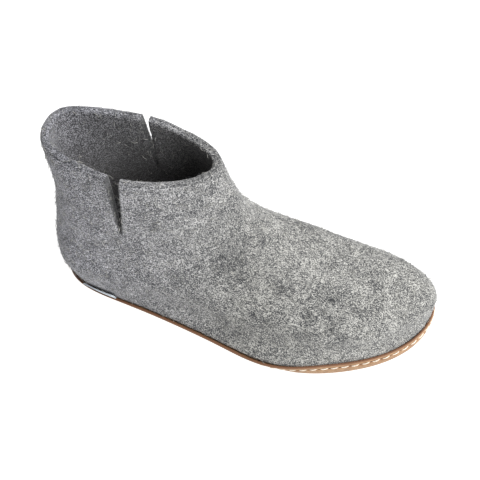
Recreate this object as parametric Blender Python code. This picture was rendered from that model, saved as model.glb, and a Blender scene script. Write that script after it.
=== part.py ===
"""Felt slipper boot for the right foot: a seamless felt upper with a slit at each side of the
ankle, a felt insole, a leather outsole whose edge turns up as a stitched rim, and a plain tag.

The frame has +X to the toe, +Y to the inner side of the foot and +Z up. The boot stands on z = 0
and the origin is the middle of its floor rectangle. Sizes are in millimetres until a mesh is made.
"""

import math
from typing import NamedTuple

import bmesh
import bpy
import numpy as np

# Driving sizes
LENGTH = 266.0
BALL_WIDTH = 88.0
COLLAR_HEIGHT = 140.0
FELT_WALL = 6.5
INSOLE_THICKNESS = 8.0
SOLE_THICKNESS = 3.7
RIM_HEIGHT = 12.0
HEEL_RIM_HEIGHT = 7.5
TOE_SPRING = 11.5
ARCH_LIFT = 2.5
GAP = 0.3
MM = 0.001

# The sections below are drawn for a boot of this length, ball width and height.
DRAWN_SIZE = np.array([266.0, 88.0, 140.0])
BOOT_SCALE = np.array([LENGTH, BALL_WIDTH, COLLAR_HEIGHT]) / DRAWN_SIZE

# Places along a section, from its back end to its front end, where its half width is drawn
WIDTH_STATIONS = (0.12, 0.38, 0.60, 0.78, 0.92)


class Section(NamedTuple):
    """One closed section of the felt's outer face, from the seam at the rim up to the collar.

    The ends give x, y and z of its back and front, bow and skew bend its middle line to the inner
    side, the next five are half widths at the stations, and joint is the bulge of the outer side
    at the little toe's joint.
    """

    name: str
    back_x: float
    back_y: float
    back_z: float
    front_x: float
    front_y: float
    front_z: float
    bow: float
    skew: float
    heel: float
    waist: float
    instep: float
    ball: float
    toe: float
    joint: float


SECTIONS = (
    Section("seam", -128.0, 4.5, 8.0, 130.5, 12.0, 12.5, -11.5, -1.5, 27.0, 34.5, 43.5, 43.0, 32.0, 5.5),
    Section("bulge", -132.5, 4.5, 20.0, 132.0, 12.0, 22.0, -8.0, 1.0, 31.0, 33.5, 42.5, 44.0, 30.0, 2.5),
    Section("wall", -132.0, 1.0, 36.5, 126.5, 6.5, 42.0, -4.5, 0.0, 33.0, 33.0, 39.5, 39.0, 26.0, 1.0),
    Section("vamp", -131.5, -1.0, 51.0, 80.5, 8.5, 54.5, 1.0, 0.0, 31.0, 34.0, 33.5, 31.0, 24.0, 0.0),
    Section("instep", -129.0, -2.0, 76.5, 23.0, 9.5, 68.5, 2.0, 0.0, 27.0, 35.0, 31.0, 26.0, 19.0, 0.0),
    Section("throat", -128.0, -0.5, 100.5, -2.0, 7.5, 97.5, 0.0, 0.0, 24.5, 33.0, 32.0, 26.5, 15.0, 0.0),
    Section("collar", -133.0, 2.0, 140.0, -17.0, 7.0, 130.0, -3.5, -0.5, 22.5, 30.0, 30.5, 24.5, 16.0, 0.0),
)
SECTION_TABLE = np.array([row[1:] for row in SECTIONS])
JOINT_PLACE = 0.63
JOINT_SPREAD = 0.12

# The sole leaves the floor in front of the ball and under the inner side of the waist.
SPRING_START_X = 40.0
SPRING_END_X = 135.0
ARCH_MIDDLE_X = -30.0
ARCH_HALF_LENGTH = 45.0
ARCH_REACH_Y = 40.0
ARCH_FADE_HEIGHT = 50.0

# Below this share the wall's thickness is measured more and more level, and at the seam wholly so.
LEVEL_SHARE = 0.2

# The lowest part of the felt, finely divided, where a level ring is looked up by its height
LOW_SHARES = np.linspace(0.0, 0.3, 31)


class EdgePoint(NamedTuple):
    """One line round the seam: how far out from the seam line, and how high above the tread.

    The edge stands upright round the toe and tucks under at the waist and the heel.
    """

    name: str
    toe_outset: float
    toe_height: float
    heel_outset: float
    heel_height: float


# Places along the seam, from its back end to its front end, between which the edge turns upright
TUCK_END = 0.53
UPRIGHT_START = 0.80

# The felt turns under below the seam.
FELT_FOOT = SOLE_THICKNESS + GAP
FELT_TURN = (
    EdgePoint("outer foot", -4.0, FELT_FOOT, -5.9, FELT_FOOT),
    EdgePoint("outer turn", -2.0, 4.8, -3.7, 4.75),
    EdgePoint("outer side", -0.55, 8.0, -1.2, 6.2),
)
FELT_TURN_INSIDE = (
    EdgePoint("inner foot", -7.0, FELT_FOOT, -9.0, FELT_FOOT),
    EdgePoint("inner turn", -6.9, 5.4, -7.6, 5.4),
    EdgePoint("inner side", -6.7, 7.0, -6.8, 7.0),
)

SOLE_EDGE = (
    EdgePoint("tread", -4.2, 0.0, -9.0, 0.0),
    EdgePoint("tread turn", -0.9, 0.7, -6.5, 0.8),
    EdgePoint("lower turn", 1.5, 2.0, -3.4, 2.4),
    EdgePoint("groove below", 2.5, 7.9, -0.9, 4.4),
    EdgePoint("groove floor low", 1.8, 8.4, -0.9, 4.8),
    EdgePoint("groove floor high", 1.7, 9.6, -0.2, 5.4),
    EdgePoint("groove above", 2.3, 10.1, 1.2, 5.8),
    EdgePoint("rim face", 2.1, 11.4, 2.0, 6.9),
    EdgePoint("rim top outside", 1.7, RIM_HEIGHT, 1.8, HEEL_RIM_HEIGHT),
    EdgePoint("rim top inside", 0.4, RIM_HEIGHT, 0.4, HEEL_RIM_HEIGHT),
    EdgePoint("rim inside", -0.2, 8.0, -0.9, 5.9),
    EdgePoint("rim foot", -1.7, 4.45, -3.4, 4.4),
    EdgePoint("seat", -4.0, SOLE_THICKNESS, -5.8, SOLE_THICKNESS),
)

INSOLE_CLEARANCE = 0.5
INSOLE_EDGE_ROUND = 1.2


class Slit(NamedTuple):
    """One V slit in the collar: its column's angle, x of its middle at both ends, and top width."""

    angle: float
    top_x: float
    bottom_x: float
    top_width: float


SLITS = (
    Slit(math.radians(90.0), -74.0, -69.0, 5.5),
    Slit(math.radians(270.0), -75.5, -73.0, 9.0),
)
SLIT_BOTTOM_SHARE = 0.745
SLIT_FLARE = 0.8
SLIT_SHIFT_REACH = math.radians(50.0)
SLIT_SHIFT_START = 0.5
SLIT_PUSH_REACH = math.radians(32.0)

# How finely the felt is divided round the boot, below the slits and beside them
COLUMNS = 72
ROWS_BELOW_SLITS = 15
ROWS_BESIDE_SLITS = 6


class CollarRow(NamedTuple):
    """One row of the collar's rounded edge: how far below it, as a share, and how deep in the felt."""

    drop: float
    inset: float


COLLAR_ROUND = (CollarRow(0.009, 0.0), CollarRow(0.003, 0.5), CollarRow(0.0, 1.8))


class TagRow(NamedTuple):
    """One row of the tag: how high above the tread, and how far off the felt."""

    height: float
    clearance: float


# The tag stands on the rim at the outer side of the heel, just off the felt.
TAG_BACK_ANGLE = math.radians(326.0)
TAG_FRONT_ANGLE = math.radians(311.0)
TAG_COLUMNS = 9
TAG_THICKNESS = 1.0
TAG_BOTTOM = HEEL_RIM_HEIGHT + GAP
TAG_ROWS = (
    TagRow(TAG_BOTTOM, 0.4),
    TagRow(TAG_BOTTOM + 3.0, 0.7),
    TagRow(TAG_BOTTOM + 6.0, 1.6),
)

SHARP_ANGLE = math.radians(40.0)
DIFFERENCE_STEP = 1e-3
TURN = 2.0 * math.pi


class Finish(NamedTuple):
    """The colour (linear), roughness and name of a piece's material."""

    name: str
    colour: tuple
    roughness: float


FELT = Finish("grey felt", (0.26, 0.265, 0.27, 1.0), 0.95)
FOOTBED = Finish("dark grey felt", (0.16, 0.165, 0.17, 1.0), 0.95)
LEATHER = Finish("tan leather", (0.45, 0.25, 0.11, 1.0), 0.6)
TAPE = Finish("blue-grey tape", (0.42, 0.47, 0.53, 1.0), 0.8)


def smoothstep(value):
    """Return a smooth 0 to 1 ramp of a value that is clipped to 0 to 1."""
    value = np.clip(value, 0.0, 1.0)
    return value * value * (3.0 - 2.0 * value)


def blended_sections(share):
    """Return the section columns at shares 0 (seam) to 1 (collar), along Catmull-Rom curves."""
    last = len(SECTION_TABLE) - 1
    place = np.asarray(share) * last
    index = np.clip(np.floor(place).astype(int), 0, last - 1)
    step = (place - index)[:, None]
    before = 2.0 * SECTION_TABLE[0] - SECTION_TABLE[1]
    after = 2.0 * SECTION_TABLE[last] - SECTION_TABLE[last - 1]
    rows = np.vstack([before, SECTION_TABLE, after])
    p0, p1, p2, p3 = (rows[index + offset] for offset in range(4))
    return 0.5 * (
        2.0 * p1
        + (p2 - p0) * step
        + (2.0 * p0 - 5.0 * p1 + 4.0 * p2 - p3) * step**2
        + (3.0 * p1 - p0 - 3.0 * p2 + p3) * step**3
    )


def half_widths(drawn, along):
    """Return half widths along sections that are round at both ends and pass through the stations."""
    stations = np.array(WIDTH_STATIONS)
    roundness = np.sqrt(stations * (1.0 - stations))
    width = np.zeros_like(along)
    for place, station in enumerate(stations):
        others = np.delete(stations, place)
        weight = np.ones_like(along)
        for other in others:
            weight = weight * (along - other) / (station - other)
        width = width + weight * drawn[place] / roundness[place]
    return width * np.sqrt(along * (1.0 - along))


def ground_lift(points):
    """Return how far the sole's shape lifts points: toe spring, and the arch on the inner side."""
    x, y, z = points[..., 0], points[..., 1], points[..., 2]
    spring = np.clip((x - SPRING_START_X) / (SPRING_END_X - SPRING_START_X), 0.0, None)
    waist = smoothstep(1.0 - np.abs(x - ARCH_MIDDLE_X) / ARCH_HALF_LENGTH)
    inner_side = smoothstep(y / ARCH_REACH_Y)
    low = np.clip(1.0 - z / ARCH_FADE_HEIGHT, 0.0, 1.0)
    return TOE_SPRING * spring**2 + ARCH_LIFT * waist * inner_side * low


def lifted(points):
    """Return points raised by the sole's shape."""
    points = points.copy()
    points[..., 2] += ground_lift(points)
    return points


def outer_face(share, angle):
    """Return points on the felt's outer face, for rows of shares and a table of ring angles.

    An angle runs from 0 at the back over the inner side to half a turn at the front.
    """
    columns = [column[:, None] for column in blended_sections(share).T]
    row = Section("", *columns)
    along = (1.0 - np.cos(angle)) / 2.0
    inner_side = np.where(np.sin(angle) >= 0.0, 1.0, -1.0)
    width = half_widths((row.heel, row.waist, row.instep, row.ball, row.toe), along)
    bulge = row.joint * np.exp(-(((along - JOINT_PLACE) / JOINT_SPREAD) ** 2))
    width = width + np.where(inner_side < 0.0, bulge, 0.0)
    bend = 4.0 * along * (1.0 - along) * (row.bow + row.skew * (2.0 * along - 1.0))
    x = row.back_x + (row.front_x - row.back_x) * along
    y = row.back_y + (row.front_y - row.back_y) * along + bend + inner_side * width
    z = row.back_z + (row.front_z - row.back_z) * along
    return lifted(np.stack([x, y, z], axis=-1) * BOOT_SCALE)


def outward_normals(share, angle):
    """Return unit normals of the felt's outer face, turned level where the felt meets the seam."""
    up = outer_face(share + DIFFERENCE_STEP, angle) - outer_face(share - DIFFERENCE_STEP, angle)
    round_boot = outer_face(share, angle + DIFFERENCE_STEP) - outer_face(share, angle - DIFFERENCE_STEP)
    normal = np.cross(up, round_boot)
    normal /= np.linalg.norm(normal, axis=-1, keepdims=True)
    normal[..., 2] *= smoothstep(share / LEVEL_SHARE)[:, None]
    return normal / np.linalg.norm(normal, axis=-1, keepdims=True)


def felt_face(share, angle, depth):
    """Return points at a depth inside the felt's outer face; a negative depth lies outside it."""
    return outer_face(share, angle) - depth * outward_normals(share, angle)


def ring_angles():
    """Return the columns' angles round the boot."""
    return np.arange(COLUMNS) * TURN / COLUMNS


def seam_ring(point):
    """Return an edge point's ring, tucked under at waist and heel and upright round the toe."""
    angles = ring_angles()
    ring = outer_face(np.zeros(1), angles[None, :])[0]
    tangent = np.roll(ring, -1, axis=0) - np.roll(ring, 1, axis=0)
    outward = np.stack([-tangent[:, 1], tangent[:, 0]], axis=-1)
    outward /= np.linalg.norm(outward, axis=-1, keepdims=True)
    along = (1.0 - np.cos(angles)) / 2.0
    upright = smoothstep((along - TUCK_END) / (UPRIGHT_START - TUCK_END))
    outset = point.heel_outset + (point.toe_outset - point.heel_outset) * upright
    ring[:, :2] += outset[:, None] * outward
    ring[:, 2] = point.heel_height + (point.toe_height - point.heel_height) * upright
    return lifted(ring)


def felt_ring(height, depth):
    """Return a level ring at a height above the tread, at a depth inside the felt's outer face."""
    angles = np.broadcast_to(ring_angles(), (len(LOW_SHARES), COLUMNS))
    rows = felt_face(LOW_SHARES, angles, depth)
    heights = rows[..., 2] - ground_lift(rows)
    ring = np.empty((COLUMNS, 3))
    for column in range(COLUMNS):
        for axis in range(2):
            ring[column, axis] = np.interp(height, heights[:, column], rows[:, column, axis])
    ring[:, 2] = height
    return lifted(ring)


class Column(NamedTuple):
    """One column of the felt's grid; the lips of a slit share its angle and lie to either side."""

    angle: float
    slit: int
    lip: int


def felt_columns():
    """Return the columns round the boot, with two lips where a slit is."""
    columns = []
    for angle in ring_angles():
        slit = next((k for k, cut in enumerate(SLITS) if math.isclose(cut.angle, angle)), -1)
        lips = (-1, 1) if slit >= 0 else (0,)
        columns.extend(Column(float(angle), slit, lip) for lip in lips)
    return columns


def slit_angle(cut, share):
    """Return the ring angle of a slit's middle and of its half width, for each share."""
    row = Section("", *blended_sections(share).T)
    down = (1.0 - share) / (1.0 - SLIT_BOTTOM_SHARE)
    x = cut.top_x + (cut.bottom_x - cut.top_x) * down
    length = row.front_x - row.back_x
    along = (x - row.back_x) / length
    middle = np.arccos(1.0 - 2.0 * along)
    if cut.angle > math.pi:
        middle = TURN - middle
    opening = np.clip(1.0 - down, 0.0, 1.0) ** SLIT_FLARE
    return middle, opening * cut.top_width / length


def felt_angles(share, columns):
    """Return the angle of every column at every share, drawn to the slits and pushed off them."""
    nominal = np.array([column.angle for column in columns])
    lip = np.array([column.lip for column in columns])
    angles = np.broadcast_to(nominal, (len(share), len(columns))).copy()
    for cut in SLITS:
        middle, half_gap = slit_angle(cut, share)
        away = nominal - cut.angle
        near = smoothstep(1.0 - np.abs(away) / SLIT_SHIFT_REACH)
        high = smoothstep((share - SLIT_SHIFT_START) / (SLIT_BOTTOM_SHARE - SLIT_SHIFT_START))
        push = np.clip(1.0 - np.abs(away) / SLIT_PUSH_REACH, 0.0, 1.0)
        side = np.where(np.isclose(away, 0.0), lip, np.sign(away))
        angles += np.outer((middle - cut.angle) * high, near)
        angles += np.outer(half_gap, push * side)
    return angles


def add_object(name, bm, finish, parent):
    """Turn a bmesh in millimetres into a named, smooth-shaded object with its own material."""
    bmesh.ops.scale(bm, vec=(MM, MM, MM), verts=bm.verts)
    bmesh.ops.triangulate(bm, faces=bm.faces)
    mesh = bpy.data.meshes.new(name)
    bm.to_mesh(mesh)
    bm.free()
    mesh.shade_smooth()
    mesh.set_sharp_from_angle(angle=SHARP_ANGLE)
    material = bpy.data.materials.new(finish.name)
    material.use_nodes = True
    shader = material.node_tree.nodes["Principled BSDF"]
    shader.inputs["Base Color"].default_value = finish.colour
    shader.inputs["Roughness"].default_value = finish.roughness
    shader.inputs["Metallic"].default_value = 0.0
    mesh.materials.append(material)
    piece = bpy.data.objects.new(name, mesh)
    piece.parent = parent
    bpy.context.scene.collection.objects.link(piece)
    return piece


def shell(outside, inside, faces):
    """Return a closed bmesh between an outer sheet and an inner sheet that share their faces."""
    bm = bmesh.new()
    outer = [bm.verts.new(point) for point in outside]
    inner = [bm.verts.new(point) for point in inside]
    directed = set()
    for face in faces:
        bm.faces.new([outer[k] for k in face])
        bm.faces.new([inner[k] for k in reversed(face)])
        directed.update(zip(face, face[1:] + face[:1]))
    for start, end in sorted(directed):
        if (end, start) not in directed:
            bm.faces.new([outer[end], outer[start], inner[start], inner[end]])
    return bm


def make_upper(parent):
    """Make the felt upper: one wall, open at the collar and underneath, slit at both sides."""
    columns = felt_columns()
    below = np.linspace(0.0, SLIT_BOTTOM_SHARE, ROWS_BELOW_SLITS + 1)
    beside = np.linspace(SLIT_BOTTOM_SHARE, 1.0 - COLLAR_ROUND[0].drop, ROWS_BESIDE_SLITS + 1)[1:-1]
    edge = np.array([1.0 - row.drop for row in COLLAR_ROUND])
    share = np.concatenate([below, beside, edge])
    depth = np.zeros((len(share), 1, 1))
    depth[-len(COLLAR_ROUND):, 0, 0] = [row.inset for row in COLLAR_ROUND]
    angles = felt_angles(share, columns)
    upper_outside = felt_face(share, angles, depth)
    upper_inside = felt_face(share, angles, FELT_WALL - depth)
    around = [round(column.angle * COLUMNS / TURN) for column in columns]
    turn_outside = [seam_ring(point)[around] for point in FELT_TURN]
    turn_inside = [seam_ring(point)[around] for point in FELT_TURN_INSIDE]
    outside = np.concatenate([np.array(turn_outside), upper_outside])
    inside = np.concatenate([np.array(turn_inside), upper_inside])

    count = len(columns)
    slit_row = len(FELT_TURN) + ROWS_BELOW_SLITS

    def vertex(row, column):
        """Return a grid point's number; below a slit both its lips are one point."""
        column = column % count
        joined = columns[column].lip == 1 and row <= slit_row
        return row * count + (column - 1 if joined else column)

    faces = []
    for row in range(len(outside) - 1):
        for column in range(count):
            following = (column + 1) % count
            if columns[column].lip == -1 and row >= slit_row:
                continue
            corners = [
                vertex(row, column),
                vertex(row + 1, column),
                vertex(row + 1, following),
                vertex(row, following),
            ]
            corners = list(dict.fromkeys(corners))
            if len(corners) > 2:
                faces.append(corners)
    used = sorted({corner for face in faces for corner in face})
    number = {corner: place for place, corner in enumerate(used)}
    faces = [[number[corner] for corner in face] for face in faces]
    outside = outside.reshape(-1, 3)[used]
    inside = inside.reshape(-1, 3)[used]
    return add_object("upper", shell(outside, inside, faces), FELT, parent)


def loft(rings):
    """Return a closed bmesh through rings of equal count, closed by strips across its ends."""
    bm = bmesh.new()
    loops = [[bm.verts.new(point) for point in ring] for ring in rings]
    count = len(loops[0])
    for lower, higher in zip(loops, loops[1:]):
        for column in range(count):
            following = (column + 1) % count
            bm.faces.new([lower[column], higher[column], higher[following], lower[following]])
    half = count // 2
    for loop, facing_down in ((loops[0], True), (loops[-1], False)):
        for column in range(half):
            strip = [loop[column], loop[column + 1], loop[count - column - 1], loop[-column]]
            strip = list(dict.fromkeys(strip))
            bm.faces.new(strip if facing_down else strip[::-1])
    return bm


def make_outsole(parent):
    """Make the leather outsole: a plate with its edge turned up as a grooved rim."""
    rings = [seam_ring(point) for point in SOLE_EDGE]
    return add_object("outsole", loft(rings), LEATHER, parent)


def make_insole(parent):
    """Make the felt insole, from wall to wall on top of the sole."""
    top = FELT_FOOT + INSOLE_THICKNESS
    side = FELT_WALL + INSOLE_CLEARANCE
    rings = []
    for beside in FELT_TURN_INSIDE:
        toe_outset = beside.toe_outset - INSOLE_CLEARANCE
        heel_outset = beside.heel_outset - INSOLE_CLEARANCE
        rings.append(seam_ring(beside._replace(toe_outset=toe_outset, heel_outset=heel_outset)))
    rings.append(felt_ring(top - INSOLE_EDGE_ROUND, side))
    rings.append(felt_ring(top, side + INSOLE_EDGE_ROUND))
    return add_object("insole", loft(rings), FOOTBED, parent)


def make_side_tag(parent):
    """Make the plain tag, a thin strip that stands in the seam and leans off the felt."""
    angles = np.linspace(TAG_BACK_ANGLE, TAG_FRONT_ANGLE, TAG_COLUMNS)
    near = []
    far = []
    for height, clearance in TAG_ROWS:
        for outset, rows in ((clearance, near), (clearance + TAG_THICKNESS, far)):
            ring = felt_ring(height, -outset)
            turns = np.append(ring_angles(), TURN)
            closed = np.vstack([ring, ring[:1]])
            rows.append(np.stack([np.interp(angles, turns, closed[:, axis]) for axis in range(3)], axis=-1))
    faces = []
    for row in range(len(TAG_ROWS) - 1):
        for column in range(TAG_COLUMNS - 1):
            start = row * TAG_COLUMNS + column
            faces.append([start, start + 1, start + TAG_COLUMNS + 1, start + TAG_COLUMNS])
    bm = shell(np.concatenate(far), np.concatenate(near), faces)
    bmesh.ops.recalc_face_normals(bm, faces=bm.faces)
    return add_object("side_tag", bm, TAPE, parent)


def clear_scene():
    """Remove every object from the scene."""
    for old in list(bpy.data.objects):
        bpy.data.objects.remove(old, do_unlink=True)


def main():
    """Build the boot and put its origin at the middle of its floor rectangle."""
    clear_scene()
    boot = bpy.data.objects.new("boot", None)
    bpy.context.scene.collection.objects.link(boot)
    pieces = [make(boot) for make in (make_upper, make_outsole, make_insole, make_side_tag)]
    corners = np.array([vertex.co for piece in pieces for vertex in piece.data.vertices])
    middle = (corners.min(axis=0) + corners.max(axis=0)) / 2.0
    boot.location = (-middle[0], -middle[1], -corners[:, 2].min())


if __name__ == "__main__":
    main()
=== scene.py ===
"""The looks of a right felt slipper boot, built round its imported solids.

The frame is the solids' own: +X to the toe, +Y to the inner side of the foot, +Z up, in metres.
The classes give their sizes in millimetres, and points are turned to metres where a mesh is made.
"""

import logging
import math
from dataclasses import dataclass
from enum import Enum

import bpy
import numpy as np
from mathutils import Matrix, Vector, kdtree


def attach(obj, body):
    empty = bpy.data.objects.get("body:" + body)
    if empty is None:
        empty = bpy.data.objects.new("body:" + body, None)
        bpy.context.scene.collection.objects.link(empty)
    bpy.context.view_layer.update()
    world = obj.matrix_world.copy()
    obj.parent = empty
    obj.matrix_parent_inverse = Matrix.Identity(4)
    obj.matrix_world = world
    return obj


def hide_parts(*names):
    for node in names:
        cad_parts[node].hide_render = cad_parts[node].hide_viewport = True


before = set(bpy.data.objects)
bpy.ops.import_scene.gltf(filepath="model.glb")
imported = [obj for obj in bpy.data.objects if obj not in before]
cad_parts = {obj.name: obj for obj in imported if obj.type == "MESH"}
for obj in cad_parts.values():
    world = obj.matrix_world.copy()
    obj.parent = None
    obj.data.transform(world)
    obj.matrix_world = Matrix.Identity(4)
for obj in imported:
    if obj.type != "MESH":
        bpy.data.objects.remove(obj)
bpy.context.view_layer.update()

LOG = logging.getLogger("felt_slipper_boot")
MM = 0.001
MERGE_DISTANCE = 1e-6
QUAD_ANGLE = math.radians(60.0)

# Places of the colour sockets on a Mix node, whose names repeat for each kind of value
MIX_A = 6
MIX_B = 7
MIX_RESULT = 2

# The middle of a noise texture's values
NOISE_MIDDLE = 0.5

# How strongly yarn and thread stand out from their own face
YARN_BUMP_STRENGTH = 0.5

WHITE = "#ffffff"


class Slot(Enum):
    """The material slots."""

    FELT = "felt"
    FOOTBED = "footbed"
    LEATHER = "leather"
    TAPE = "tape"


class Fold(Enum):
    """Which way a crease goes from the felt's face."""

    TROUGH = -1.0
    RIDGE = 1.0


def linear(hex_colour: str) -> tuple[float, float, float, float]:
    """Turn an sRGB hex colour to a linear colour.

    Args:
        hex_colour: The colour as #rrggbb.

    Returns:
        Linear red, green, blue and full alpha.
    """
    shares = [int(hex_colour[place : place + 2], 16) / 255.0 for place in (1, 3, 5)]
    red, green, blue = (
        share / 12.92 if share <= 0.04045 else ((share + 0.055) / 1.055) ** 2.4 for share in shares
    )
    return (red, green, blue, 1.0)


def add_node(
    tree: bpy.types.NodeTree,
    kind: str,
    links: dict[str | int, bpy.types.NodeSocket] | None = None,
    values: dict[str | int, object] | None = None,
    **settings: object,
) -> bpy.types.Node:
    """Add a node to a tree.

    Args:
        tree: The tree that gets the node.
        kind: The node's type name.
        links: Sockets of other nodes, by the input that each feeds.
        values: Constants, by input.
        **settings: The node's own properties.

    Returns:
        The new node.
    """
    node = tree.nodes.new(kind)
    for name, setting in settings.items():
        setattr(node, name, setting)
    for name, value in (values or {}).items():
        node.inputs[name].default_value = value
    for name, socket in (links or {}).items():
        tree.links.new(socket, node.inputs[name])
    return node


def new_material(name: str) -> tuple[bpy.types.Material, bpy.types.NodeTree, bpy.types.Node]:
    """Start a material.

    Args:
        name: The material's name.

    Returns:
        The material, its node tree and its Principled shader.
    """
    material = bpy.data.materials.new(name)
    material.use_nodes = True
    tree = material.node_tree
    return material, tree, tree.nodes["Principled BSDF"]


def activate(piece: bpy.types.Object) -> None:
    """Make a piece the only one selected, and the active one."""
    bpy.ops.object.select_all(action="DESELECT")
    piece.select_set(True)
    bpy.context.view_layer.objects.active = piece


def merged_copy(node: str, name: str) -> bpy.types.Object:
    """Copy a solid's mesh, merge its loose triangles and join them to quads.

    Args:
        node: The solid's node.
        name: The new piece's name.

    Returns:
        The new piece.
    """
    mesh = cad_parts[node].data.copy()
    mesh.name = name
    mesh.materials.clear()
    piece = bpy.data.objects.new(name, mesh)
    bpy.context.scene.collection.objects.link(piece)
    activate(piece)
    bpy.ops.mesh.customdata_custom_splitnormals_clear()
    bpy.ops.object.mode_set(mode="EDIT")
    bpy.ops.mesh.select_all(action="SELECT")
    bpy.ops.mesh.remove_doubles(threshold=MERGE_DISTANCE)
    bpy.ops.mesh.tris_convert_to_quads(face_threshold=QUAD_ANGLE, shape_threshold=QUAD_ANGLE)
    bpy.ops.object.mode_set(mode="OBJECT")
    return piece


def crease_sharp_edges(piece: bpy.types.Object, angle: float, amount: float) -> None:
    """Keep a piece's sharp edges when it is subdivided.

    Args:
        piece: The piece.
        angle: The least angle of a sharp edge, in degrees.
        amount: How much of the edge is kept, from 0 to 1.
    """
    activate(piece)
    bpy.ops.object.mode_set(mode="EDIT")
    bpy.ops.mesh.select_mode(type="EDGE")
    bpy.ops.mesh.select_all(action="DESELECT")
    bpy.ops.mesh.edges_select_sharp(sharpness=math.radians(angle))
    bpy.ops.transform.edge_crease(value=amount)
    bpy.ops.object.mode_set(mode="OBJECT")


def apply_modifier(piece: bpy.types.Object, modifier: bpy.types.Modifier) -> None:
    """Apply a modifier to its piece."""
    activate(piece)
    bpy.ops.object.modifier_apply(modifier=modifier.name)


def subdivide(piece: bpy.types.Object, levels: int) -> None:
    """Round a piece by subdividing its surface, and shade it smooth."""
    modifier = piece.modifiers.new("rounding", "SUBSURF")
    modifier.levels = levels
    modifier.render_levels = levels
    apply_modifier(piece, modifier)
    bpy.ops.object.shade_smooth()


def rounded_copy(
    node: str, name: str, edge_angle: float, edge_keep: float, levels: int
) -> bpy.types.Object:
    """Copy a solid and round its faces, with its sharp edges kept.

    Args:
        node: The solid's node.
        name: The new piece's name.
        edge_angle: The least angle of a sharp edge, in degrees.
        edge_keep: How much of a sharp edge is kept, from 0 to 1.
        levels: How many times the surface is subdivided.

    Returns:
        The new piece.
    """
    piece = merged_copy(node, name)
    crease_sharp_edges(piece, edge_angle, edge_keep)
    subdivide(piece, levels)
    return piece


def roughen(piece: bpy.types.Object, name: str, size: float, height: float) -> None:
    """Make a piece's face softly uneven.

    Args:
        piece: The piece.
        name: The name of the unevenness.
        size: How wide its lumps are, in millimetres.
        height: How much it lifts and sinks in all, in millimetres.
    """
    lumps = bpy.data.textures.new(name, "CLOUDS")
    lumps.noise_scale = size * MM
    modifier = piece.modifiers.new(name, "DISPLACE")
    modifier.texture = lumps
    modifier.texture_coords = "LOCAL"
    modifier.strength = height * MM
    apply_modifier(piece, modifier)


def points_of(piece: bpy.types.Object) -> np.ndarray:
    """Return a piece's points, in millimetres."""
    points = np.empty(len(piece.data.vertices) * 3)
    piece.data.vertices.foreach_get("co", points)
    return points.reshape(-1, 3) / MM


def normals_of(piece: bpy.types.Object) -> np.ndarray:
    """Return the normals at a piece's points."""
    normals = np.empty(len(piece.data.vertices) * 3)
    piece.data.vertices.foreach_get("normal", normals)
    return normals.reshape(-1, 3)


def move_points(piece: bpy.types.Object, points: np.ndarray) -> None:
    """Put a piece's points where the given ones are, in millimetres."""
    piece.data.vertices.foreach_set("co", (points * MM).ravel())
    piece.data.update()


def paint(piece: bpy.types.Object, name: str, values: np.ndarray) -> None:
    """Store a number at each of a piece's points, for its material to read."""
    layer = piece.data.attributes.new(name, "FLOAT", "POINT")
    layer.data.foreach_set("value", values.astype(np.float32))


def smoothstep(values: np.ndarray) -> np.ndarray:
    """Return a smooth ramp from 0 to 1 of values that are clipped to 0 to 1."""
    values = np.clip(values, 0.0, 1.0)
    return values * values * (3.0 - 2.0 * values)


def gap_to_line(points: np.ndarray, start: np.ndarray, end: np.ndarray) -> np.ndarray:
    """Return how far points are from a straight line between two ends."""
    line = end - start
    share = np.clip(((points - start) @ line) / (line @ line), 0.0, 1.0)
    return np.linalg.norm(points - start - share[:, None] * line, axis=-1)


def gap_to_points(points: np.ndarray, others: np.ndarray) -> np.ndarray:
    """Return how far points are from the nearest of some others."""
    tree = kdtree.KDTree(len(others))
    for number, other in enumerate(others):
        tree.insert(other, number)
    tree.balance()
    return np.array([tree.find(point)[2] for point in points])


def put_on_boot(piece: bpy.types.Object, node: str | None = None) -> None:
    """Fix a piece to the boot and report it.

    Args:
        piece: The finished piece.
        node: The solid that it stands for, if there is one.
    """
    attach(piece, "root")
    if node is not None:
        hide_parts(node)
    LOG.info("%s: %d faces", piece.name, len(piece.data.polygons))


@dataclass(frozen=True)
class EdgeLine:
    """A line round the rim: how far out from the seam and how high it runs, at the toe and the heel."""

    toe_outset: float
    toe_height: float
    heel_outset: float
    heel_height: float


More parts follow.
